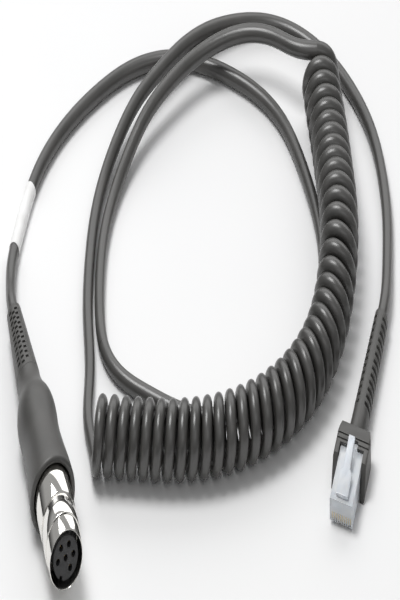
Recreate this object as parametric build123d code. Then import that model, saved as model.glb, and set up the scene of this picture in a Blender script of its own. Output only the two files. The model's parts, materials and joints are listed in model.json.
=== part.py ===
from build123d import *
import math
import os

# Coiled interface cable: a retractile cord with a round six-way cable connector at one end and a
# modular plug in a winged boot at the other, lying in loops on a table.
# Millimetres, +Z up, table top at z = 0, origin under the middle of the loops.
# +X runs to the right of the loops and +Y away from the two connector ends.

# ---- cord ----
CORD_R = 2.5
CORE_R = 1.6
FLOOR_Z = CORD_R
LABEL_THICKNESS = 0.15
LABEL_CLEARANCE = 0.04
LABEL_SPAN = (0.07, 0.11)
TAIL_SHARE = 0.7
MOULD_CLEARANCE = 0.1
ARC_STEP = 9.0

# ---- coil ----
COIL_CORD_R = 2.45
COIL_R = 7.35
COIL_PITCH_LOW = 5.85
COIL_PITCH_TOP = 5.3
COIL_TIGHTENS_FROM = 168.0
COIL_TIGHTENS_OVER = 20.0
COIL_STEPS_PER_TURN = 4
COIL_TURNS = 39.5
COIL_STEPS = int(COIL_TURNS * COIL_STEPS_PER_TURN)
COIL_REST_Z = COIL_R + CORD_R
COIL_LEAD_OUT = 3.0
COIL_JOINT_GAP = 0.3
COIL_AXIS = [
    (-53.8, -62.4, COIL_REST_Z),
    (-30.0, -63.6, COIL_REST_Z),
    (-5.0, -63.8, COIL_REST_Z),
    (13.0, -61.2, COIL_REST_Z),
    (32.0, -54.8, COIL_REST_Z),
    (49.5, -43.2, COIL_REST_Z),
    (61.5, -27.5, 10.1),
    (66.9, -13.0, 11.4),
    (69.2, 0.0, 13.1),
    (69.4, 14.0, 13.1),
    (67.6, 30.0, 11.2),
    (65.2, 46.0, COIL_REST_Z),
    (62.8, 58.0, COIL_REST_Z),
    (60.6, 72.0, COIL_REST_Z),
]

# ---- round connector, measured along its own axis from the back of the boot ----
CONN_BACK = (-85.5, -42.4, 8.65)
CONN_HEADING = -73.4
CONN_PITCH = 3.5
CONN_TAIL_LENGTH = 27.5
CONN_TAIL_R = (3.6, 5.9)
CONN_HINGE_Z = -13.0
CONN_SLOTS = 11
CONN_SLOTS_START = 2.0
CONN_SLOT_STEP = 2.2
CONN_SLOT_WIDTH = 1.0
CONN_SLOT_DEPTH = 1.1
CONN_SLOT_HALF_WIDTH = 0.75
CONN_SLOT_COLUMNS = (88.0, 112.0, 136.0)
BULB_R = 9.75
WAIST_R = 9.35
BELL_R = 11.35
BELL_MOUTH_R = 9.35
MOUTH_Z = 46.0
MOUTH_DEPTH = 6.0
LIP_DEPTH = 1.2
MOULD_R = 6.5
MOULD_BACK_Z = 10.0
FACE_Z = 70.0
SHELL_R = 8.95
SHELL_BORE_R = 7.6
SHELL_BACK_Z = 34.0
SHELL_FRONT_Z = FACE_Z - 14.0
NECK_R = 7.25
NECK_FRONT_Z = FACE_Z - 8.5
RETAINER_Z = FACE_Z - 9.75
RETAINER_THICKNESS = 0.6
RING_STEP_R = 8.6
RING_GRIP_R = 9.0
RING_NOSE_R = 8.5
RING_RIM_R = 8.25
RING_BORE_R = 7.85
RING_MOUTH_CHAMFER = (0.3, 0.9)
RING_GRIP_Z = (FACE_Z - 11.2, FACE_Z - 5.8)
INSULATOR_R = 6.2
INSULATOR_RECESS = 0.8
INSULATOR_BACK_Z = 50.0
FLANGE_LENGTH = 2.0
CONTACT_CIRCLE_R = 3.9
CONTACT_ANGLES = (5.0, 65.0, 125.0, 185.0, -55.0)
KEY_ANGLE = -115.0
KEY_DEPTH = 1.1
KEY_HALF_WIDTH = 0.8
CONTACT_R = 1.35
CONTACT_RECESS = 2.2
CONTACT_HOLE_R = 1.0
CONTACT_BACK_Z = 48.0
SOLDER_CUP_R = 0.7
SOLDER_CUP_DEPTH = 2.5
WIRE_R = 0.45
CORE_BUNDLE_R = 1.05
CORD_END_Z = 20.0
FERRULE_R = 3.05
RUN_FIT = 0.05

# ---- modular plug, measured along its own axis from the back of the boot ----
PLUG_BACK = (78.0, -53.1, 4.3)
PLUG_HEADING = -107.4
PLUG_TAIL_LENGTH = 40.5
PLUG_TAIL_R = (3.4, 4.3)
PLUG_HINGE_Z = -20.0
PLUG_SLOTS = 13
PLUG_SLOTS_START = 2.4
PLUG_SLOT_STEP = 2.7
PLUG_SLOT_WIDTH = 1.15
PLUG_STRIP_WIDTH = 3.0
PLUG_TUBE_R = 2.8
PLUG_FRONT_Z = 31.5
PLUG_LENGTH = 22.0
PLUG_BODY_Z = PLUG_FRONT_Z - PLUG_LENGTH
PLUG_CORD_END = PLUG_BODY_Z + 5.0
PLUG_WIDTH = 11.68
PLUG_HEIGHT = 6.5
BOOT_WIDTH = 16.8
BOOT_BACK_WIDTH = 14.0
BOOT_HEIGHT = 8.6
BOOT_BACK_Z = 4.8
BOOT_BODY_Z = 12.2
BOOT_GROOVES_Z = (8.8, 10.7)
BOOT_GROOVE = 0.6
BOOT_GROOVE_DEPTH = 0.45
BOOT_SHOULDER = 3.2
BOOT_CORNER_R = 1.1
WING_THICKNESS = 2.35
WING_TOP_Z = 16.5
WING_TIP_Z = 20.5
WAYS = 10
WAY_PITCH = 1.02
BLADE_THICKNESS = 0.35
PLUG_WIRE_R = 0.3
PLUG_BUNDLE_PITCH = 0.72
PLUG_BUNDLE_Y = 0.45
LATCH_WIDTH = 6.0
LATCH_TAIL_WIDTH = 3.2
LATCH_THICKNESS = 1.2
LATCH_ROOT_Z = 30.2
LATCH_SLOPE = 8.5

# The points above are laid out about the connectors; this puts the middle of the whole at the origin.
TO_ORIGIN = Pos(0.7, 6.0, 0.1)

# Half of the free length left in the cord at each bending point.
HINGE_GAP = 0.8
STRAIGHT_STEP = 3.5
# Sine of the largest turn that still counts as straight.
STRAIGHT_ENOUGH = 1e-4


def heading_frame(origin, heading, pitch=0.0):
    """Frame with Z along the heading, X level to the right of the front face, Y upwards."""
    level = Vector(math.cos(math.radians(heading)), math.sin(math.radians(heading)), 0)
    side = Vector(0, 0, 1).cross(level)
    rise = math.radians(pitch)
    forward = level * math.cos(rise) + Vector(0, 0, math.sin(rise))
    return Plane(origin=origin, x_dir=side, z_dir=forward)


CONNECTOR = heading_frame(CONN_BACK, CONN_HEADING, CONN_PITCH)
PLUG = heading_frame(PLUG_BACK, PLUG_HEADING)


def along(frame, distance):
    """Point on a frame's Z axis."""
    return frame.origin + frame.z_dir * distance


def straight_run(frame, entry, stop):
    """Points that keep a cord straight from just outside a strain relief to its end inside."""
    distances = [entry - STRAIGHT_STEP, entry]
    inside = math.ceil((stop - entry) / STRAIGHT_STEP)
    distances += [entry + (stop - entry) * (k + 1) / inside for k in range(inside)]
    return [along(frame, distance) for distance in distances]


# ---- centrelines ----

LEAD_FROM_CONNECTOR = [
    (-95.2, -5.4, 5.0),
    (-95.2, 6.0, 3.3),
    (-92.6, 17.0, FLOOR_Z),
    (-83.0, 41.3, FLOOR_Z),
    (-71.7, 56.1, FLOOR_Z),
    (-53.6, 70.9, FLOOR_Z),
    (-35.1, 80.7, FLOOR_Z),
    (-10.0, 84.3, FLOOR_Z),
    (10.0, 79.8, FLOOR_Z),
    (40.1, 62.0, FLOOR_Z),
    (52.6, 41.3, FLOOR_Z),
    (58.8, 25.0, FLOOR_Z),
    (61.5, 10.0, FLOOR_Z),
    (60.8, 0.0, FLOOR_Z),
    (57.2, -11.5, FLOOR_Z),
    (51.5, -22.5, FLOOR_Z),
    (42.0, -34.0, FLOOR_Z),
    (30.0, -41.5, FLOOR_Z),
    (17.0, -45.8, FLOOR_Z),
    (2.0, -47.4, FLOOR_Z),
    (-12.0, -44.8, FLOOR_Z),
    (-26.1, -39.6, FLOOR_Z),
    (-38.0, -34.0, FLOOR_Z),
    (-46.5, -26.0, FLOOR_Z),
    (-50.6, -10.5, FLOOR_Z),
    (-50.6, 4.3, FLOOR_Z),
    (-48.6, 19.1, FLOOR_Z),
]
TAIL_TO_COIL = [
    (-43.6, 33.3, 3.1),
    (-37.0, 44.8, 5.2),
    (-28.6, 55.2, 8.4),
    (-19.0, 63.5, 10.2),
    (-8.0, 71.4, 11.0),
    (6.0, 77.8, 12.2),
    (22.0, 80.4, 13.9),
    (38.0, 76.8, 15.6),
    (50.0, 71.0, 16.9),
]
LEAD_FROM_COIL = [
    (-55.2, -52.0, FLOOR_Z),
    (-55.3, -32.7, FLOOR_Z),
    (-56.7, -10.5, FLOOR_Z),
    (-56.1, 8.0, FLOOR_Z),
    (-53.3, 26.5, FLOOR_Z),
    (-48.3, 40.5, 3.4),
    (-40.8, 52.6, 5.9),
    (-30.9, 64.4, 7.8),
    (-21.0, 73.4, 8.0),
    (-10.0, 81.9, 8.0),
    (2.5, 89.0, 7.3),
    (17.5, 94.9, 5.2),
    (32.6, 97.2, 3.5),
    (47.6, 94.6, 2.6),
    (62.6, 86.3, FLOOR_Z),
    (78.2, 70.9, FLOOR_Z),
    (87.2, 56.1, FLOOR_Z),
    (92.0, 40.0, FLOOR_Z),
    (94.0, 22.8, FLOOR_Z),
    (93.6, 8.0, 2.8),
]


def coil_pitch(distance):
    """Coil pitch at a distance along the axis: the last part of the coil sits tighter."""
    share = min(max((distance - COIL_TIGHTENS_FROM) / COIL_TIGHTENS_OVER, 0.0), 1.0)
    return COIL_PITCH_LOW + (COIL_PITCH_TOP - COIL_PITCH_LOW) * share


def coil_stations():
    """Points and directions along the centreline of the coil."""
    axis = Spline(*COIL_AXIS)
    length = axis.length
    points = []
    distance = 0.0
    for step in range(-1, COIL_STEPS + 2):
        share = distance / length
        tangent = axis % share
        side = tangent.cross(Vector(0, 0, 1)).normalized()
        upward = side.cross(tangent)
        angle = 2 * math.pi * step / COIL_STEPS_PER_TURN
        radial = side * math.sin(angle) - upward * math.cos(angle)
        points.append((axis @ share) + radial * COIL_R)
        distance += coil_pitch(distance) / COIL_STEPS_PER_TURN
    chords = zip(points, points[1:-1], points[2:])
    return [(point, (ahead - behind).normalized()) for behind, point, ahead in chords]


def stations(path, first=0.0, last=1.0, step=ARC_STEP):
    """Points and directions at even steps along part of a path."""
    count = max(1, round(path.length * (last - first) / step))
    shares = [first + (last - first) * k / count for k in range(count + 1)]
    return [(path @ share, path % share) for share in shares]


def meeting_point(start, heading, end, end_heading):
    """Where two arcs that join two directed points in line meet each other."""
    gap = end - start
    forward = gap.dot(heading + end_heading)
    spread = 2 * (1 - heading.dot(end_heading))
    if spread < 1e-9:
        reach = gap.dot(gap) / (2 * forward)
    else:
        reach = (math.sqrt(forward ** 2 + spread * gap.dot(gap)) - forward) / spread
    return (start + end + (heading - end_heading) * reach) * 0.5


def arc_between(start, heading, end):
    """Axis and angle of the arc that leaves a point in a direction; no axis if it is straight."""
    chord = end - start
    normal = heading.cross(chord)
    if normal.length < STRAIGHT_ENOUGH * chord.length:
        return None, 0.0
    normal = normal.normalized()
    inward = normal.cross(heading)
    radius = chord.dot(chord) / (2 * inward.dot(chord))
    angle = math.degrees(2 * math.asin(chord.length / (2 * radius)))
    return Axis(start + inward * radius, normal), angle


def round_bar(places, radius):
    """Round bar along directed points: lengths of torus and cylinder that meet in line."""
    start, heading = places[0]
    rim = (Plane(origin=start, z_dir=heading) * Circle(radius)).edge()
    faces = [Face(Wire([rim]))]
    for end, end_heading in places[1:]:
        for target in (meeting_point(start, heading, end, end_heading), end):
            axis, angle = arc_between(start, heading, target)
            if axis is None:
                faces.append(Face.extrude(rim, target - start))
                rim = rim.translate(target - start)
            else:
                faces.append(Face.revolve(rim, angle, axis))
                rim = rim.rotate(axis, angle)
                heading = heading.rotate(Axis((0, 0, 0), axis.direction), angle)
            start = target
    faces.append(Face(Wire([rim])))
    return Solid(Shell(faces))


def wrap(places, radius, thickness):
    """Thin sleeve round a cord."""
    return round_bar(places, radius + thickness) - round_bar(places, radius)


def turned(*outline):
    """Solid of revolution about local Z from (radius, z) corners."""
    corners = [(radius, 0, z) for radius, z in outline]
    return revolve(make_face(Polyline(*corners, close=True)), Axis.Z)


def bar(radius, z_start, z_end, inner=0.0):
    """Cylinder, or sleeve, on local Z between two heights."""
    solid = Pos(0, 0, z_start) * extrude(Circle(radius), z_end - z_start)
    if inner:
        solid -= Pos(0, 0, z_start) * extrude(Circle(inner), z_end - z_start)
    return solid


def block(x, y, z):
    """Box between pairs of local coordinates."""
    size = [limits[1] - limits[0] for limits in (x, y, z)]
    middle = [(limits[1] + limits[0]) / 2 for limits in (x, y, z)]
    return Pos(*middle) * Box(*size)


# ---- the cord ----

def coil_and_leads():
    """The coil, the centreline that leaves its low end and the one that leaves its high end."""
    turns = coil_stations()
    coil = round_bar(turns, COIL_CORD_R)
    low_end, low_direction = turns[0][0], turns[0][1] * -1
    high_end, high_direction = turns[-1]
    plug_lead = Spline(
        low_end + low_direction * COIL_JOINT_GAP,
        low_end + low_direction * COIL_LEAD_OUT,
        *LEAD_FROM_COIL,
        *straight_run(PLUG, -PLUG_TAIL_LENGTH, PLUG_HINGE_Z - HINGE_GAP),
    )
    connector_lead = Spline(
        *reversed(straight_run(CONNECTOR, -CONN_TAIL_LENGTH, CONN_HINGE_Z - HINGE_GAP)),
        *LEAD_FROM_CONNECTOR,
        *TAIL_TO_COIL,
        high_end + high_direction * COIL_LEAD_OUT,
        high_end + high_direction * COIL_JOINT_GAP,
    )
    return coil, plug_lead, connector_lead


# ---- round connector, in its own frame ----

def ring_of_contacts():
    """Places of the six contacts: one in the middle and five on a circle."""
    places = [(0.0, 0.0)]
    for angle in CONTACT_ANGLES:
        turn = math.radians(angle)
        places.append((CONTACT_CIRCLE_R * math.cos(turn), CONTACT_CIRCLE_R * math.sin(turn)))
    return places


def connector_strain_relief():
    back_r, front_r = CONN_TAIL_R
    bore = CORD_R + MOULD_CLEARANCE
    sleeve = turned(
        (bore, -CONN_TAIL_LENGTH), (back_r, -CONN_TAIL_LENGTH), (front_r, 0), (bore, 0)
    )
    for column, angle in enumerate(CONN_SLOT_COLUMNS):
        for row in range(CONN_SLOTS):
            z = CONN_SLOTS_START + (row + (column % 2) / 2) * CONN_SLOT_STEP - CONN_TAIL_LENGTH
            share = (z + CONN_TAIL_LENGTH) / CONN_TAIL_LENGTH
            skin = back_r + (front_r - back_r) * share
            reach = min(CONN_SLOT_DEPTH, skin - bore - 0.2)
            across = (-CONN_SLOT_HALF_WIDTH, CONN_SLOT_HALF_WIDTH)
            slot = block((skin - reach, skin + 1), across, (z, z + CONN_SLOT_WIDTH))
            sleeve -= Rot(0, 0, angle) * slot
    return sleeve


def connector_boot():
    bore = CORD_R + MOULD_CLEARANCE
    rim = MOUTH_Z - LIP_DEPTH
    outer = Spline(
        (CONN_TAIL_R[1], 0, 0),
        (6.2, 0, 4.2),
        (7.2, 0, 7.8),
        (8.8, 0, 11.5),
        (BULB_R, 0, 16.5),
        (WAIST_R, 0, 24.0),
        (9.5, 0, 28.5),
        (10.1, 0, 34.0),
        (10.85, 0, 39.5),
        (BELL_R, 0, rim),
    )
    lip = ThreePointArc(
        (BELL_R, 0, rim), ((BELL_R + BELL_MOUTH_R) / 2, 0, MOUTH_Z), (BELL_MOUTH_R, 0, rim)
    )
    inside = Polyline(
        (BELL_MOUTH_R, 0, rim),
        (BELL_MOUTH_R, 0, MOUTH_Z - MOUTH_DEPTH),
        (SHELL_R + MOULD_CLEARANCE, 0, MOUTH_Z - MOUTH_DEPTH),
        (SHELL_R + MOULD_CLEARANCE, 0, SHELL_BACK_Z - 0.1),
        (MOULD_R + RUN_FIT, 0, SHELL_BACK_Z - 0.1),
        (MOULD_R + RUN_FIT, 0, MOULD_BACK_Z),
        (bore, 0, MOULD_BACK_Z),
        (bore, 0, 0),
        (CONN_TAIL_R[1], 0, 0),
    )
    return revolve(make_face(Curve() + [outer, lip, inside]), Axis.Z)


def inner_mould():
    floor_z = CORD_END_Z + 1.5
    cup = bar(MOULD_R, MOULD_BACK_Z + RUN_FIT, SHELL_BACK_Z - 0.15)
    cup -= bar(FERRULE_R + RUN_FIT, MOULD_BACK_Z, floor_z)
    cup -= bar(5.4, floor_z, SHELL_BACK_Z)
    return cup


def connector_shell():
    shell = turned(
        (SHELL_BORE_R, SHELL_BACK_Z),
        (SHELL_R, SHELL_BACK_Z),
        (SHELL_R, SHELL_FRONT_Z - 0.5),
        (SHELL_R - 0.35, SHELL_FRONT_Z),
        (NECK_R, SHELL_FRONT_Z),
        (NECK_R, RETAINER_Z - 0.05),
        (NECK_R - 0.45, RETAINER_Z - 0.05),
        (NECK_R - 0.45, RETAINER_Z + RETAINER_THICKNESS + 0.05),
        (NECK_R, RETAINER_Z + RETAINER_THICKNESS + 0.05),
        (NECK_R, NECK_FRONT_Z),
        (INSULATOR_R + RUN_FIT, NECK_FRONT_Z),
        (INSULATOR_R + RUN_FIT, INSULATOR_BACK_Z + FLANGE_LENGTH),
        (SHELL_BORE_R, INSULATOR_BACK_Z + FLANGE_LENGTH),
    )
    return shell


def ring_retainer():
    ring = bar(NECK_R + 0.55, RETAINER_Z, RETAINER_Z + RETAINER_THICKNESS, NECK_R - 0.4)
    opening = block((0, 12), (-1.1, 1.1), (RETAINER_Z - 1, RETAINER_Z + 2))
    return ring - Rot(0, 0, 90) * opening


def coupling_ring():
    back = SHELL_FRONT_Z + RUN_FIT
    shoulder = RETAINER_Z - 0.1
    grip_back, grip_front = RING_GRIP_Z
    return turned(
        (NECK_R + RUN_FIT, back),
        (RING_STEP_R, back),
        (RING_STEP_R, grip_back),
        (RING_GRIP_R - 0.1, grip_back),
        (RING_GRIP_R, grip_back + 0.2),
        (RING_GRIP_R, grip_front - 0.2),
        (RING_GRIP_R - 0.1, grip_front),
        (RING_NOSE_R, grip_front),
        (RING_NOSE_R, FACE_Z - 0.3),
        (RING_RIM_R, FACE_Z),
        (RING_BORE_R + RING_MOUTH_CHAMFER[0], FACE_Z),
        (RING_BORE_R, FACE_Z - RING_MOUTH_CHAMFER[1]),
        (RING_BORE_R, shoulder),
        (NECK_R + RUN_FIT, shoulder),
    )


def insulator():
    front = FACE_Z - INSULATOR_RECESS
    solid = bar(INSULATOR_R, INSULATOR_BACK_Z, front)
    flange_front = INSULATOR_BACK_Z + FLANGE_LENGTH - RUN_FIT
    solid += bar(SHELL_BORE_R - 0.1, INSULATOR_BACK_Z, flange_front)
    for x, y in ring_of_contacts():
        pocket_z = front - CONTACT_RECESS + RUN_FIT
        solid -= Pos(x, y, 0) * bar(CONTACT_HOLE_R, pocket_z - 1, front + 1)
        solid -= Pos(x, y, 0) * bar(CONTACT_R + RUN_FIT, INSULATOR_BACK_Z - 1, pocket_z)
    across = (-KEY_HALF_WIDTH, KEY_HALF_WIDTH)
    key = block((INSULATOR_R - KEY_DEPTH, INSULATOR_R + 1), across, (NECK_FRONT_Z, front + 1))
    return solid - Rot(0, 0, KEY_ANGLE) * key


def socket_contacts():
    front = FACE_Z - INSULATOR_RECESS - CONTACT_RECESS
    group = []
    for x, y in ring_of_contacts():
        contact = bar(CONTACT_R, CONTACT_BACK_Z, front)
        contact -= bar(CONTACT_HOLE_R, front - 8, front + 1)
        contact -= bar(SOLDER_CUP_R, CONTACT_BACK_Z - 1, CONTACT_BACK_Z + SOLDER_CUP_DEPTH)
        group.append(Pos(x, y, 0) * contact)
    return Compound(children=group)


def face_seal():
    back = NECK_FRONT_Z + 0.02
    return bar(NECK_R, back, back + 0.8, INSULATOR_R + 0.02)


def shield_ferrule():
    return bar(FERRULE_R, CORD_END_Z - 8, CORD_END_Z - 0.5, CORD_R + 0.02)


def cranked_wire(near, far, radius):
    """Wire that leaves a near point and reaches a far one along local Z, with a bend between."""
    forward = Vector(0, 0, 1)
    (near_x, near_y, near_z, near_run), (far_x, far_y, far_z, far_run) = near, far
    corners = [
        (near_x, near_y, near_z),
        (near_x, near_y, near_z + near_run),
        (far_x, far_y, far_z - far_run),
        (far_x, far_y, far_z),
    ]
    return round_bar([(Vector(*corner), forward) for corner in corners], radius)


def connector_wires():
    group = []
    for x, y in ring_of_contacts():
        share = CORE_BUNDLE_R / CONTACT_CIRCLE_R
        near = (x * share, y * share, CORD_END_Z, 4.0)
        far = (x, y, CONTACT_BACK_Z + 1, 6.0)
        group.append(cranked_wire(near, far, WIRE_R))
    return Compound(children=group)


# ---- modular plug, in its own frame ----

def plug_strain_relief():
    back_r, front_r = PLUG_TAIL_R
    bore = CORD_R + MOULD_CLEARANCE
    skin = turned(
        (bore, -PLUG_TAIL_LENGTH),
        (back_r, -PLUG_TAIL_LENGTH),
        (front_r, BOOT_BACK_Z),
        (bore, BOOT_BACK_Z),
    )
    half_strip = PLUG_STRIP_WIDTH / 2
    for row in range(PLUG_SLOTS):
        z = PLUG_SLOTS_START + row * PLUG_SLOT_STEP - PLUG_TAIL_LENGTH
        span = (z, z + PLUG_SLOT_WIDTH)
        slot = block((-6, 6), (-6, 6), span) - bar(PLUG_TUBE_R, span[0], span[1])
        slot -= block((-half_strip, half_strip), (-6, 6), span)
        skin -= slot
    return skin


def plug_boot():
    half_height = BOOT_HEIGHT / 2
    half = BOOT_WIDTH / 2
    back = BOOT_BACK_WIDTH / 2
    wing_in = half - WING_THICKNESS
    plan = Polyline(
        (-back, 0, BOOT_BACK_Z),
        (back, 0, BOOT_BACK_Z),
        (half, 0, BOOT_BACK_Z + BOOT_SHOULDER),
        (half, 0, WING_TIP_Z),
        (wing_in, 0, WING_TIP_Z),
        (wing_in, 0, BOOT_BODY_Z),
        (-wing_in, 0, BOOT_BODY_Z),
        (-wing_in, 0, WING_TIP_Z),
        (-half, 0, WING_TIP_Z),
        (-half, 0, BOOT_BACK_Z + BOOT_SHOULDER),
        close=True,
    )
    boot = extrude(make_face(plan), half_height, dir=(0, 1, 0), both=True)
    long_edges = boot.edges().filter_by(Axis.Z).filter_by(
        lambda edge: abs(edge.center().X) > half - 0.1
    )
    boot = fillet(long_edges, BOOT_CORNER_R)
    nose = Polyline(
        (0, half_height + 1, WING_TOP_Z - 0.6),
        (0, -half_height, WING_TIP_Z + 0.1),
        (0, half_height + 1, WING_TIP_Z + 1),
        close=True,
    )
    boot -= extrude(make_face(nose), BOOT_WIDTH, dir=(1, 0, 0), both=True)
    for z in BOOT_GROOVES_Z:
        deep = (half_height - BOOT_GROOVE_DEPTH, half_height + 1)
        boot -= block((-half - 1, half + 1), deep, (z, z + BOOT_GROOVE))
    boot -= block((-2.6, 2.6), (1.4, half_height + 1), (BOOT_BODY_Z - 2.4, BOOT_BODY_Z + 1))
    seat_x = PLUG_WIDTH / 2 + RUN_FIT
    seat_y = PLUG_HEIGHT / 2 + RUN_FIT
    boot -= block((-seat_x, seat_x), (-seat_y, seat_y), (PLUG_BODY_Z - RUN_FIT, BOOT_BODY_Z + 1))
    return boot - bar(CORD_R + MOULD_CLEARANCE, BOOT_BACK_Z - 1, BOOT_BODY_Z + 1)


def blade_places():
    return [(way - (WAYS - 1) / 2) * WAY_PITCH for way in range(WAYS)]


def plug_body():
    half = PLUG_WIDTH / 2
    half_height = PLUG_HEIGHT / 2
    back = PLUG_BODY_Z
    body = block((-half, half), (-half_height, half_height), (back, PLUG_FRONT_Z))
    body = fillet(body.edges().filter_by(Axis.Z), 0.35)
    body -= block((-4.7, 4.7), (-2.55, 2.55), (back - 1, back + 8))
    body -= block((-5.15, 5.15), (-1.3, 1.3), (back, PLUG_FRONT_Z - 4.4))
    body -= block((-5.15, 5.15), (-0.55, 0.45), (back, PLUG_FRONT_Z - 1.0))
    for x in blade_places():
        slot = (x - BLADE_THICKNESS / 2 - 0.04, x + BLADE_THICKNESS / 2 + 0.04)
        body -= block(slot, (-half_height - 1, -0.5), (PLUG_FRONT_Z - 4.3, PLUG_FRONT_Z + 1))
    return body


def contact_blades():
    group = []
    for x in blade_places():
        span = (x - BLADE_THICKNESS / 2, x + BLADE_THICKNESS / 2)
        blade = block(span, (-2.75, -0.58), (PLUG_FRONT_Z - 4.2, PLUG_FRONT_Z - 0.45))
        group.append(blade)
    return Compound(children=group)


def load_bar():
    bar_z = (PLUG_FRONT_Z - 7.6, PLUG_FRONT_Z - 4.6)
    solid = block((-5.05, 5.05), (-1.2, 1.2), bar_z)
    for x in blade_places():
        solid -= Pos(x, -0.1, 0) * bar(PLUG_WIRE_R + RUN_FIT, bar_z[0] - 1, bar_z[1] + 1)
    return solid


def plug_wires():
    group = []
    for way, x in enumerate(blade_places()):
        near_x = (way // 2 - 2) * PLUG_BUNDLE_PITCH
        near_y = PLUG_BUNDLE_Y if way % 2 else -PLUG_BUNDLE_Y
        near = (near_x, near_y, PLUG_CORD_END, 1.5)
        far = (x, -0.1, PLUG_FRONT_Z - 1.3, 7.3)
        group.append(cranked_wire(near, far, PLUG_WIRE_R))
    return Compound(children=group)


def plug_latch():
    run = LATCH_ROOT_Z - 11.5
    half = LATCH_WIDTH / 2
    tail = LATCH_TAIL_WIDTH / 2
    plan = Polyline(
        (-half, 0, 0),
        (half, 0, 0),
        (half, 0, -7.5),
        (tail, 0, -8.5),
        (tail, 0, -run),
        (-tail, 0, -run),
        (-tail, 0, -8.5),
        (-half, 0, -7.5),
        close=True,
    )
    lever = extrude(make_face(plan), LATCH_THICKNESS, dir=(0, 1, 0))
    lever = fillet(lever.edges().filter_by(Axis.Y), 0.3)
    seat = PLUG_HEIGHT / 2 + 0.1
    return Pos(0, seat, LATCH_ROOT_Z) * Rot(LATCH_SLOPE, 0, 0) * lever


def build():
    coil, plug_lead, connector_lead = coil_and_leads()
    label_places = stations(connector_lead, *LABEL_SPAN)
    label_r = CORD_R + LABEL_CLEARANCE
    parts = {
        "coil_cord": coil,
        "coil_tail_cord": round_bar(stations(connector_lead, first=TAIL_SHARE), CORD_R),
        "lead_cord_connector_side": round_bar(stations(connector_lead, last=TAIL_SHARE), CORD_R),
        "lead_cord_plug_side": round_bar(stations(plug_lead), CORD_R),
        "id_label": wrap(label_places, label_r, LABEL_THICKNESS),
    }
    connector_gap = CONN_HINGE_Z + HINGE_GAP
    plug_gap = PLUG_HINGE_Z + HINGE_GAP
    connector_parts = {
        "connector_strain_relief": connector_strain_relief(),
        "connector_boot": connector_boot(),
        "inner_mould": inner_mould(),
        "connector_shell": connector_shell(),
        "ring_retainer": ring_retainer(),
        "coupling_ring": coupling_ring(),
        "insulator": insulator(),
        "socket_contacts": socket_contacts(),
        "face_seal": face_seal(),
        "shield_ferrule": shield_ferrule(),
        "connector_wires": connector_wires(),
        "connector_cord_end": bar(CORD_R, connector_gap, CORD_END_Z, CORE_R),
        "connector_core_end": bar(CORE_R, connector_gap, CORD_END_Z),
    }
    plug_parts = {
        "plug_strain_relief": plug_strain_relief(),
        "plug_boot": plug_boot(),
        "plug_body": plug_body(),
        "contact_blades": contact_blades(),
        "load_bar": load_bar(),
        "plug_wires": plug_wires(),
        "plug_latch": plug_latch(),
        "plug_cord_end": bar(CORD_R, plug_gap, PLUG_CORD_END, CORE_R),
        "plug_core_end": bar(CORE_R, plug_gap, PLUG_CORD_END),
    }
    for name, part in connector_parts.items():
        parts[name] = CONNECTOR.location * part
    for name, part in plug_parts.items():
        parts[name] = PLUG.location * part
    return {name: TO_ORIGIN * part for name, part in parts.items()}


os.makedirs("parts", exist_ok=True)
for name, part in build().items():
    export_step(part, f"parts/{name}.step")
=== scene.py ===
import json
import math

import bmesh
import bpy
import numpy as np
from mathutils import Matrix, Vector


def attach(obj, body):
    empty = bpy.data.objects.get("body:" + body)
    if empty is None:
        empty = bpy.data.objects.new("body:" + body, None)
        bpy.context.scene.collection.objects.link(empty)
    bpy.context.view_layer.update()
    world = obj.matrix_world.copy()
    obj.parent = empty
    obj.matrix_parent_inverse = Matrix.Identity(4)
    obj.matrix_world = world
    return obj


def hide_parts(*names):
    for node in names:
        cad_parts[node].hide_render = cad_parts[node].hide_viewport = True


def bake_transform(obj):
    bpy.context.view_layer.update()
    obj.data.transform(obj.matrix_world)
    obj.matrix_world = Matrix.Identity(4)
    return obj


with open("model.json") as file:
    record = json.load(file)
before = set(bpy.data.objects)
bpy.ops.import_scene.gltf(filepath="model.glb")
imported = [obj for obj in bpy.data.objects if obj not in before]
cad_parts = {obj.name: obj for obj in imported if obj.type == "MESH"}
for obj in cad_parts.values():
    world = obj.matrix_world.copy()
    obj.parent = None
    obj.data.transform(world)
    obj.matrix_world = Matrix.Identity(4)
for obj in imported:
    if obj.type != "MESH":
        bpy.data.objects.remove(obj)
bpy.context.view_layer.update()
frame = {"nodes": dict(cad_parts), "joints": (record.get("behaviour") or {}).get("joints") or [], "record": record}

# The coiled cable of a handheld scanner, dressed around its CAD frame. Everything is in metres.
MM = 0.001
UP = Vector((0, 0, 1))

# ---- cord ----
CORD_R = 2.5 * MM
COIL_CORD_R = 2.45 * MM
CORD_SIDES = 32
HINGE_GAP = 0.8 * MM
JOINT_GAP = 0.3 * MM
TRACE_STEP = 1.0 * MM
TRACE_REFRESH = 8
LEAD_REACH = 7.0 * MM
COIL_REACH = 2.4 * MM

# Which faces of a cord are looked at from a point on its centreline: how far beside it, as a
# share of the radius, how much they may face along the cord, and how near its end cap lies.
TRACE_BESIDE = 0.5
TRACE_FACING = 0.75
TRACE_END = 1.6

# ---- satin grip band of the coupling ring, from the connector's front face ----
GRIP_BACK = -7.7 * MM
GRIP_FRONT = -5.9 * MM
GRIP_R = 8.8 * MM

# ---- strain reliefs: how far either side of its hinge a soft piece is cut across, and the spacing of the cuts ----
RELIEF_BEND_HALF = 7.0 * MM
RELIEF_CUT_STEP = 1.0 * MM

# ---- edges: flat faces are joined below, and edges are rounded or kept sharp above, an angle ----
FLAT_ANGLE = 0.5
ROUNDED_ANGLE = 40.0
SHARP_ANGLE = 38.0
WELD = 1e-6

# ---- camera ----
SQUEEZE = 2.15
ELEVATION = 39.9
LENS = 800.0
SENSOR = 36.0
VIEW_HEIGHT = 300.6 * MM
AIM = Vector((0.2, 3.7, 0.1)) * MM

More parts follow.
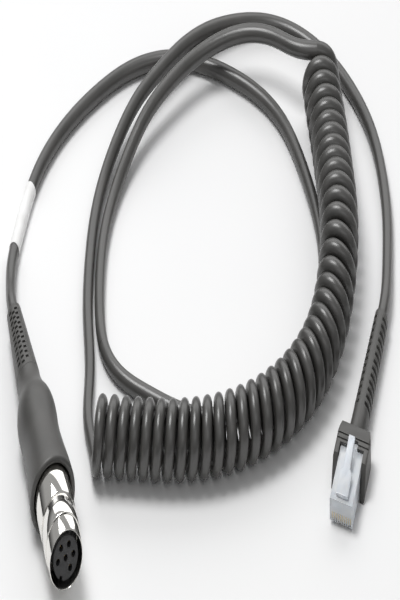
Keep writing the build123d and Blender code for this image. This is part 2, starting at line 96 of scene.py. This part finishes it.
# ---- stage: name, place, aim, width, height in metres, power in watts ----
FLOOR_HALF = 3.0
HORIZON_COLOUR = (0.06, 0.06, 0.06)
OVERHEAD_COLOUR = (1.0, 1.0, 1.0)
WORLD_STRENGTH = 0.36
BACKDROP_COLOUR = (0.72, 0.72, 0.73)
SOFT_LIGHTS = [
    ("wall_softbox", (0.15, 1.30, 0.95), (0, 0, 0), 2.6, 1.2, 13.0),
    ("key_softbox", (-0.30, 0.10, 1.10), (0, 0, 0), 0.50, 0.50, 8.0),
    ("front_softbox", (0.20, -0.90, 1.00), (0, 0, 0), 1.0, 0.4, 1.2),
]


# ================= the frame's own places =================

mounts = {mount["name"]: mount for mount in frame["record"]["mounts"]}
joints = {joint["name"]: joint for joint in frame["joints"]}


def axis_of(mount):
    """Front point and forward direction of a connector."""
    place = mounts[mount]
    return Vector(place["pos_m"]), Vector(place["axis"]).normalized()


CONN_FRONT, CONN_FORWARD = axis_of("round_connector")
PLUG_FORWARD = axis_of("modular_plug")[1]
CONN_HINGE = Vector(joints["connector_bend"]["pos_m"])
PLUG_HINGE = Vector(joints["plug_bend"]["pos_m"])


def local_frame(front, forward):
    """Matrix whose Z runs along a connector and whose Y points up."""
    side = UP.cross(forward).normalized()
    upward = forward.cross(side)
    matrix = Matrix((side, upward, forward)).transposed().to_4x4()
    matrix.translation = front
    return matrix


CONN = local_frame(CONN_FRONT, CONN_FORWARD)


# ================= node materials =================

def new_material(name):
    """Empty node material with a Principled shader wired to the output."""
    material = bpy.data.materials.new(name)
    material.use_nodes = True
    nodes = material.node_tree.nodes
    return material, nodes, material.node_tree.links, nodes["Principled BSDF"]


def texture_space(nodes, links, scale=(1, 1, 1)):
    """Object coordinates in metres, scaled."""
    coordinates = nodes.new("ShaderNodeTexCoord")
    mapping = nodes.new("ShaderNodeMapping")
    mapping.inputs["Scale"].default_value = scale
    links.new(coordinates.outputs["Object"], mapping.inputs["Vector"])
    return mapping.outputs["Vector"]


def noise_node(nodes, links, vector, scale, detail=4.0, roughness=0.55):
    node = nodes.new("ShaderNodeTexNoise")
    node.inputs["Scale"].default_value = scale
    node.inputs["Detail"].default_value = detail
    node.inputs["Roughness"].default_value = roughness
    links.new(vector, node.inputs["Vector"])
    return node


def ramp_node(nodes, links, source, low, high, low_at=0.35, high_at=0.65):
    """Colour ramp between two colours."""
    ramp = nodes.new("ShaderNodeValToRGB")
    ramp.color_ramp.elements[0].position = low_at
    ramp.color_ramp.elements[0].color = (*low, 1)
    ramp.color_ramp.elements[1].position = high_at
    ramp.color_ramp.elements[1].color = (*high, 1)
    links.new(source, ramp.inputs["Fac"])
    return ramp


def range_node(nodes, links, source, low, high):
    """Maps a 0-1 value to a range."""
    node = nodes.new("ShaderNodeMapRange")
    node.inputs["To Min"].default_value = low
    node.inputs["To Max"].default_value = high
    links.new(source, node.inputs["Value"])
    return node


def bump_node(nodes, links, source, strength, distance, under=None):
    node = nodes.new("ShaderNodeBump")
    node.inputs["Strength"].default_value = strength
    node.inputs["Distance"].default_value = distance
    links.new(source, node.inputs["Height"])
    if under:
        links.new(under.outputs["Normal"], node.inputs["Normal"])
    return node


def moulded_plastic(name, dark, light, roughness, grain, grain_depth, index=1.5):
    """Dyed PVC or plastic: cloudy colour, fine moulded grain, uneven gloss."""
    material, nodes, links, shader = new_material(name)
    space = texture_space(nodes, links)
    cloud = noise_node(nodes, links, space, 90.0, 3.0)
    colour = ramp_node(nodes, links, cloud.outputs["Fac"], dark, light)
    links.new(colour.outputs["Color"], shader.inputs["Base Color"])
    gloss = range_node(nodes, links, cloud.outputs["Fac"], roughness - 0.05, roughness + 0.06)
    links.new(gloss.outputs["Result"], shader.inputs["Roughness"])
    fine = noise_node(nodes, links, space, grain, 2.0, 0.6)
    broad = noise_node(nodes, links, space, 260.0, 2.0)
    under = bump_node(nodes, links, broad.outputs["Fac"], 0.12, 0.00012)
    top = bump_node(nodes, links, fine.outputs["Fac"], 0.25, grain_depth, under)
    links.new(top.outputs["Normal"], shader.inputs["Normal"])
    shader.inputs["IOR"].default_value = index
    return material


def plated_metal(name, colour, roughness, brushed=False):
    """Polished or satin plating with faint handling marks."""
    material, nodes, links, shader = new_material(name)
    shader.inputs["Metallic"].default_value = 1.0
    space = texture_space(nodes, links)
    cloud = noise_node(nodes, links, space, 140.0, 4.0)
    low = tuple(channel * 0.94 for channel in colour)
    tint = ramp_node(nodes, links, cloud.outputs["Fac"], low, colour)
    links.new(tint.outputs["Color"], shader.inputs["Base Color"])
    marks = noise_node(nodes, links, space, 700.0, 6.0, 0.7)
    gloss = range_node(nodes, links, marks.outputs["Fac"], roughness * 0.7, roughness * 1.4)
    links.new(gloss.outputs["Result"], shader.inputs["Roughness"])
    if brushed:
        lines = noise_node(nodes, links, space, 2600.0, 2.0)
        bump = bump_node(nodes, links, lines.outputs["Fac"], 0.35, 0.00002)
    else:
        bump = bump_node(nodes, links, marks.outputs["Fac"], 0.02, 0.00002)
    links.new(bump.outputs["Normal"], shader.inputs["Normal"])
    return material


def clear_plastic(name):
    """Clear polycarbonate with a faint blue cast and moulding haze."""
    material, nodes, links, shader = new_material(name)
    space = texture_space(nodes, links)
    haze = noise_node(nodes, links, space, 220.0, 3.0)
    tint = ramp_node(nodes, links, haze.outputs["Fac"], (0.88, 0.93, 0.99), (0.97, 0.985, 1.0))
    links.new(tint.outputs["Color"], shader.inputs["Base Color"])
    gloss = range_node(nodes, links, haze.outputs["Fac"], 0.10, 0.26)
    links.new(gloss.outputs["Result"], shader.inputs["Roughness"])
    shader.inputs["IOR"].default_value = 1.52
    shader.inputs["Transmission Weight"].default_value = 0.45
    flow = noise_node(nodes, links, texture_space(nodes, links, (1, 0.3, 1)), 150.0, 2.0)
    bump = bump_node(nodes, links, flow.outputs["Fac"], 0.08, 0.0001)
    links.new(bump.outputs["Normal"], shader.inputs["Normal"])
    return material


def label_film(name):
    """Matt white wrap-round film with a fine paper tooth and a slight yellowing."""
    material, nodes, links, shader = new_material(name)
    space = texture_space(nodes, links)
    cloud = noise_node(nodes, links, space, 120.0, 3.0)
    tint = ramp_node(nodes, links, cloud.outputs["Fac"], (0.80, 0.80, 0.79), (0.90, 0.90, 0.90))
    links.new(tint.outputs["Color"], shader.inputs["Base Color"])
    tooth = noise_node(nodes, links, space, 3200.0, 3.0)
    bump = bump_node(nodes, links, tooth.outputs["Fac"], 0.2, 0.00003)
    links.new(bump.outputs["Normal"], shader.inputs["Normal"])
    shader.inputs["Roughness"].default_value = 0.42
    return material


CORD_GREY = moulded_plastic(
    "cord_pvc", (0.046, 0.045, 0.042), (0.060, 0.058, 0.055), 0.34, 2600.0, 0.00002, 1.75
)
MOULDING_GREY = moulded_plastic(
    "boot_moulding", (0.050, 0.049, 0.046), (0.066, 0.064, 0.060), 0.44, 1900.0, 0.00004, 1.65
)
INSULATOR_GREY = moulded_plastic(
    "insulator_plastic", (0.030, 0.030, 0.031), (0.042, 0.042, 0.043), 0.50, 2400.0, 0.00002
)
CORE_CREAM = moulded_plastic(
    "core_plastic", (0.60, 0.57, 0.50), (0.68, 0.65, 0.58), 0.55, 1800.0, 0.00003
)
SEAL_BLACK = moulded_plastic(
    "seal_rubber", (0.018, 0.018, 0.018), (0.028, 0.028, 0.028), 0.60, 2200.0, 0.00003
)
WIRE_COLOUR = moulded_plastic(
    "wire_insulation", (0.30, 0.06, 0.05), (0.38, 0.08, 0.06), 0.40, 1500.0, 0.00002
)
NICKEL = plated_metal("polished_nickel", (0.86, 0.845, 0.81), 0.07)
NICKEL_SATIN = plated_metal("satin_nickel", (0.80, 0.79, 0.75), 0.30, brushed=True)
STEEL = plated_metal("spring_steel", (0.62, 0.62, 0.61), 0.22, brushed=True)
GOLD = plated_metal("gold_contact", (0.86, 0.70, 0.40), 0.16)
CLEAR = clear_plastic("clear_polycarbonate")
LABEL = label_film("label_film")


# ================= mesh helpers =================

def add_object(name, mesh, material):
    piece = bpy.data.objects.new(name, mesh)
    bpy.context.scene.collection.objects.link(piece)
    mesh.materials.clear()
    mesh.materials.append(material)
    return piece


def shade(mesh, angle=SHARP_ANGLE):
    """Smooth shading with sharp edges above an angle."""
    mesh.shade_smooth()
    mesh.set_sharp_from_angle(angle=math.radians(angle))


def sharp_edges(work, angle=ROUNDED_ANGLE):
    limit = math.radians(angle)
    return [
        edge for edge in work.edges
        if len(edge.link_faces) == 2 and edge.calc_face_angle(0.0) > limit
    ]


def copy_of(node, name, material, edge=0.0, cuts=()):
    """New piece from a CAD node's shape, with rounded edges and optional cross cuts."""
    work = bmesh.new()
    work.from_mesh(frame["nodes"][node].data)
    bmesh.ops.remove_doubles(work, verts=work.verts, dist=WELD)
    bmesh.ops.dissolve_limit(
        work, angle_limit=math.radians(FLAT_ANGLE), verts=work.verts, edges=work.edges
    )
    if edge:
        bmesh.ops.bevel(
            work, geom=sharp_edges(work), offset=edge, offset_type="OFFSET", segments=2,
            profile=0.5, affect="EDGES", clamp_overlap=True
        )
    for point, normal in cuts:
        geometry = work.verts[:] + work.edges[:] + work.faces[:]
        bmesh.ops.bisect_plane(work, geom=geometry, plane_co=point, plane_no=normal)
    mesh = bpy.data.meshes.new(name)
    work.to_mesh(mesh)
    work.free()
    piece = add_object(name, mesh, material)
    shade(mesh)
    return piece


def carried_frames(path):
    """Point, side and upward direction along a path, carried without twist."""
    ends = [path[0] * 2 - path[1], *path, path[-1] * 2 - path[-2]]
    side = (path[1] - path[0]).cross(UP).normalized()
    frames = []
    for behind, point, ahead in zip(ends, ends[1:], ends[2:]):
        tangent = (ahead - behind).normalized()
        side = (side - tangent * side.dot(tangent)).normalized()
        frames.append((point, side, side.cross(tangent)))
    return frames


def round_cord(name, path, radius, material):
    """Closed round cord along a path."""
    work = bmesh.new()
    rings = []
    for point, side, upward in carried_frames(path):
        ring = []
        for n in range(CORD_SIDES):
            turn = 2 * math.pi * n / CORD_SIDES
            offset = side * math.cos(turn) + upward * math.sin(turn)
            ring.append(work.verts.new(point + offset * radius))
        rings.append(ring)
    for first, second in zip(rings, rings[1:]):
        for n in range(CORD_SIDES):
            m = (n + 1) % CORD_SIDES
            work.faces.new((first[n], first[m], second[m], second[n]))
    work.faces.new(list(reversed(rings[0])))
    work.faces.new(rings[-1])
    bmesh.ops.recalc_face_normals(work, faces=work.faces)
    mesh = bpy.data.meshes.new(name)
    work.to_mesh(mesh)
    work.free()
    shade(mesh, 60)
    return add_object(name, mesh, material)


# ================= centrelines, traced through the CAD cords =================

def mesh_arrays(node):
    """Corners, face centres and face normals of a CAD node."""
    mesh = frame["nodes"][node].data
    corners = np.empty(len(mesh.vertices) * 3)
    centres = np.empty(len(mesh.polygons) * 3)
    normals = np.empty(len(mesh.polygons) * 3)
    mesh.vertices.foreach_get("co", corners)
    mesh.polygons.foreach_get("center", centres)
    mesh.polygons.foreach_get("normal", normals)
    return corners.reshape(-1, 3), centres.reshape(-1, 3), normals.reshape(-1, 3)


def trace(node, radius, start, heading, reach):
    """Walks along a CAD cord with a moving quadratic fit and returns its centreline."""
    corners, centres, normals = mesh_arrays(node)
    middles = centres - normals * radius
    point, heading = np.array(start), np.array(heading.normalized())
    path = [Vector(point)]
    while True:
        if (len(path) - 1) % TRACE_REFRESH == 0:
            span = TRACE_REFRESH * TRACE_STEP + 2 * reach
            near = np.abs(middles - point).max(axis=1) < span
            near_middles, near_normals = middles[near], normals[near]
        offset = near_middles - point
        ahead = offset @ heading
        lateral = offset - np.outer(ahead, heading)
        inside = (
            (np.abs(ahead) < reach)
            & (np.linalg.norm(lateral, axis=1) < TRACE_BESIDE * radius + ahead ** 2 / (4 * radius))
            & (np.abs(near_normals @ heading) < TRACE_FACING)
        )
        t = ahead[inside]
        if (t > TRACE_STEP).sum() < 3:
            break
        terms = np.stack([np.ones_like(t), t, t * t], axis=1)
        fit, *_ = np.linalg.lstsq(terms, lateral[inside], rcond=None)
        bend = fit[0] + fit[1] * TRACE_STEP + fit[2] * TRACE_STEP ** 2
        point = point + heading * TRACE_STEP + bend
        heading = heading + fit[1] + 2 * fit[2] * TRACE_STEP
        heading /= np.linalg.norm(heading)
        path.append(Vector(point))
    offset = corners - point
    beside = np.linalg.norm(offset, axis=1) < TRACE_END * radius
    path.append(Vector(point + heading * (offset[beside] @ heading).max()))
    return path


def smoothed(path, passes):
    """Evens out small steps in a traced centreline."""
    for _ in range(passes):
        middle = [(a + b * 2 + c) / 4 for a, b, c in zip(path, path[1:], path[2:])]
        path = [path[0], *middle, path[-1]]
    return path


def end_direction(path):
    return (path[-1] - path[-3]).normalized()


plug_path = trace(
    "lead_cord_plug_side", CORD_R, PLUG_HINGE - PLUG_FORWARD * HINGE_GAP,
    -PLUG_FORWARD, LEAD_REACH
)
connector_path = trace(
    "lead_cord_connector_side", CORD_R, CONN_HINGE - CONN_FORWARD * HINGE_GAP,
    -CONN_FORWARD, LEAD_REACH
)
tail_path = trace(
    "coil_tail_cord", CORD_R, connector_path[-1], end_direction(connector_path), LEAD_REACH
)
coil_path = trace(
    "coil_cord", COIL_CORD_R, plug_path[-1], end_direction(plug_path), COIL_REACH
)
coil_path.append(coil_path[-1] + end_direction(coil_path) * JOINT_GAP)


# ================= the cords =================

def dress_cords():
    rows = [
        ("cord_lead_plug_side", "lead_cord_plug_side", smoothed(plug_path, 3), CORD_R),
        ("cord_lead_connector_side", "lead_cord_connector_side",
         smoothed(connector_path, 3), CORD_R),
        ("cord_coil_tail", "coil_tail_cord", smoothed(tail_path, 3), CORD_R),
        ("cord_coil", "coil_cord", smoothed(coil_path, 1), COIL_CORD_R),
    ]
    made = {}
    for name, node, path, radius in rows:
        piece = round_cord(name, path, radius, CORD_GREY)
        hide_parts(node)
        made[name] = piece
    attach(made["cord_lead_plug_side"], "cord")
    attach(made["cord_lead_connector_side"], "cord")
    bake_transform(made["cord_coil_tail"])
    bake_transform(made["cord_coil"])


dress_cords()


# ================= strain reliefs =================

def dress_relief(name, node, hinge, forward, edge):
    """Rubbery sleeve between the cord and a connector, cut across in slices round its hinge."""
    half = int(RELIEF_BEND_HALF / RELIEF_CUT_STEP) + 1
    cuts = [(hinge + forward * RELIEF_CUT_STEP * k, forward) for k in range(-half, half + 1)]
    piece = copy_of(node, name, MOULDING_GREY, edge, cuts)
    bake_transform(piece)
    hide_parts(node)


dress_relief(
    "connector_strain_relief_sleeve", "connector_strain_relief",
    CONN_HINGE, CONN_FORWARD, 0.10 * MM
)
dress_relief(
    "plug_strain_relief_sleeve", "plug_strain_relief",
    PLUG_HINGE, PLUG_FORWARD, 0.12 * MM
)


# ================= the rigid pieces =================

bodies = frame["record"]["behaviour"]["bodies"]
body_of_node = {node: body for body, members in bodies.items() for node in members}

# CAD node, finish, rounding of its edges in millimetres.
RIGID_PIECES = [
    ("id_label", LABEL, 0.0),
    ("connector_boot", MOULDING_GREY, 0.12),
    ("inner_mould", CORE_CREAM, 0.0),
    ("connector_shell", NICKEL, 0.08),
    ("ring_retainer", STEEL, 0.05),
    ("coupling_ring", NICKEL, 0.05),
    ("insulator", INSULATOR_GREY, 0.06),
    ("socket_contacts", GOLD, 0.05),
    ("face_seal", SEAL_BLACK, 0.08),
    ("shield_ferrule", STEEL, 0.04),
    ("connector_wires", WIRE_COLOUR, 0.0),
    ("connector_cord_end", CORD_GREY, 0.0),
    ("connector_core_end", CORE_CREAM, 0.0),
    ("plug_boot", MOULDING_GREY, 0.22),
    ("plug_body", CLEAR, 0.10),
    ("contact_blades", GOLD, 0.03),
    ("load_bar", CLEAR, 0.05),
    ("plug_wires", WIRE_COLOUR, 0.0),
    ("plug_latch", CLEAR, 0.15),
    ("plug_cord_end", CORD_GREY, 0.0),
    ("plug_core_end", CORE_CREAM, 0.0),
]


def dress_rigid():
    made = {}
    for node, material, edge in RIGID_PIECES:
        piece = copy_of(node, node + "_finished", material, edge * MM)
        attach(piece, body_of_node[node])
        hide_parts(node)
        made[node] = piece
    return made


rigid = dress_rigid()


def satin_band(piece, back, front, least_radius):
    """Gives the outer band of a turned piece a satin finish."""
    mesh = piece.data
    mesh.materials.append(NICKEL_SATIN)
    to_local = CONN.inverted()
    for face in mesh.polygons:
        place = to_local @ face.center
        outside = math.hypot(place.x, place.y) > least_radius
        if outside and back < place.z < front:
            face.material_index = 1


satin_band(rigid["coupling_ring"], GRIP_BACK, GRIP_FRONT, GRIP_R)


# ================= stage =================

def pale_floor():
    mesh = bpy.data.meshes.new("table_top")
    half = FLOOR_HALF
    corners = [(-half, -half, 0), (half, -half, 0), (half, half, 0), (-half, half, 0)]
    mesh.from_pydata(corners, [], [(0, 1, 2, 3)])
    material, nodes, links, shader = new_material("pale_table")
    space = texture_space(nodes, links)
    cloud = noise_node(nodes, links, space, 6.0, 2.0)
    tint = ramp_node(nodes, links, cloud.outputs["Fac"], (0.84, 0.84, 0.845), (0.86, 0.86, 0.86))
    links.new(tint.outputs["Color"], shader.inputs["Base Color"])
    shader.inputs["Roughness"].default_value = 0.75
    shader.inputs["Specular IOR Level"].default_value = 0.2
    floor = add_object("table_top", mesh, material)


def soft_light(name, place, aim, width, height, power):
    lamp = bpy.data.lights.new(name, "AREA")
    lamp.shape = "RECTANGLE"
    lamp.size = width
    lamp.size_y = height
    lamp.energy = power
    holder = bpy.data.objects.new(name, lamp)
    bpy.context.scene.collection.objects.link(holder)
    holder.location = place
    holder.rotation_mode = "QUATERNION"
    holder.rotation_quaternion = (Vector(aim) - Vector(place)).to_track_quat("-Z", "Y")


def studio_world():
    """Plain pale backdrop; what metal mirrors is dim at the horizon and bright overhead."""
    world = bpy.data.worlds.new("studio")
    world.use_nodes = True
    bpy.context.scene.world = world
    nodes, links = world.node_tree.nodes, world.node_tree.links
    coordinates = nodes.new("ShaderNodeTexCoord")
    split = nodes.new("ShaderNodeSeparateXYZ")
    links.new(coordinates.outputs["Generated"], split.inputs["Vector"])
    ramp = ramp_node(
        nodes, links, split.outputs["Z"], HORIZON_COLOUR, OVERHEAD_COLOUR, 0.04, 0.50
    )
    mirrored = nodes["Background"]
    links.new(ramp.outputs["Color"], mirrored.inputs["Color"])
    mirrored.inputs["Strength"].default_value = WORLD_STRENGTH
    seen = nodes.new("ShaderNodeBackground")
    seen.inputs["Color"].default_value = (*BACKDROP_COLOUR, 1)
    ray = nodes.new("ShaderNodeLightPath")
    mix = nodes.new("ShaderNodeMixShader")
    links.new(ray.outputs["Is Camera Ray"], mix.inputs["Fac"])
    links.new(mirrored.outputs["Background"], mix.inputs[1])
    links.new(seen.outputs["Background"], mix.inputs[2])
    links.new(mix.outputs["Shader"], nodes["World Output"].inputs["Surface"])


def squeezed_camera():
    """Long-lens camera whose upright axis leans back, which narrows what it sees sideways."""
    elevation = math.radians(ELEVATION)
    back = Vector((0, -math.cos(elevation), math.sin(elevation)))
    upward = Vector((0, math.sin(elevation), math.cos(elevation)))
    across = Vector((1, 0, 0))
    leaning = upward / SQUEEZE + back * math.sqrt(1 - 1 / SQUEEZE ** 2)
    matrix = Matrix((across, leaning, back)).transposed().to_4x4()
    distance = VIEW_HEIGHT * LENS / SENSOR
    matrix.translation = AIM + back * distance
    lens = bpy.data.cameras.new("camera")
    lens.lens = LENS
    lens.sensor_width = SENSOR
    lens.clip_end = 4 * distance
    camera = bpy.data.objects.new("camera", lens)
    rig = bpy.data.objects.new("camera_rig", None)
    bpy.context.scene.collection.objects.link(camera)
    bpy.context.scene.collection.objects.link(rig)
    camera.parent = rig
    camera.matrix_parent_inverse = matrix
    bpy.context.scene.camera = camera


pale_floor()
studio_world()
for lamp in SOFT_LIGHTS:
    soft_light(*lamp)
squeezed_camera()
bpy.context.scene.view_settings.view_transform = "Standard"
bpy.context.scene.cycles.max_bounces = 16
bpy.context.scene.cycles.transmission_bounces = 12
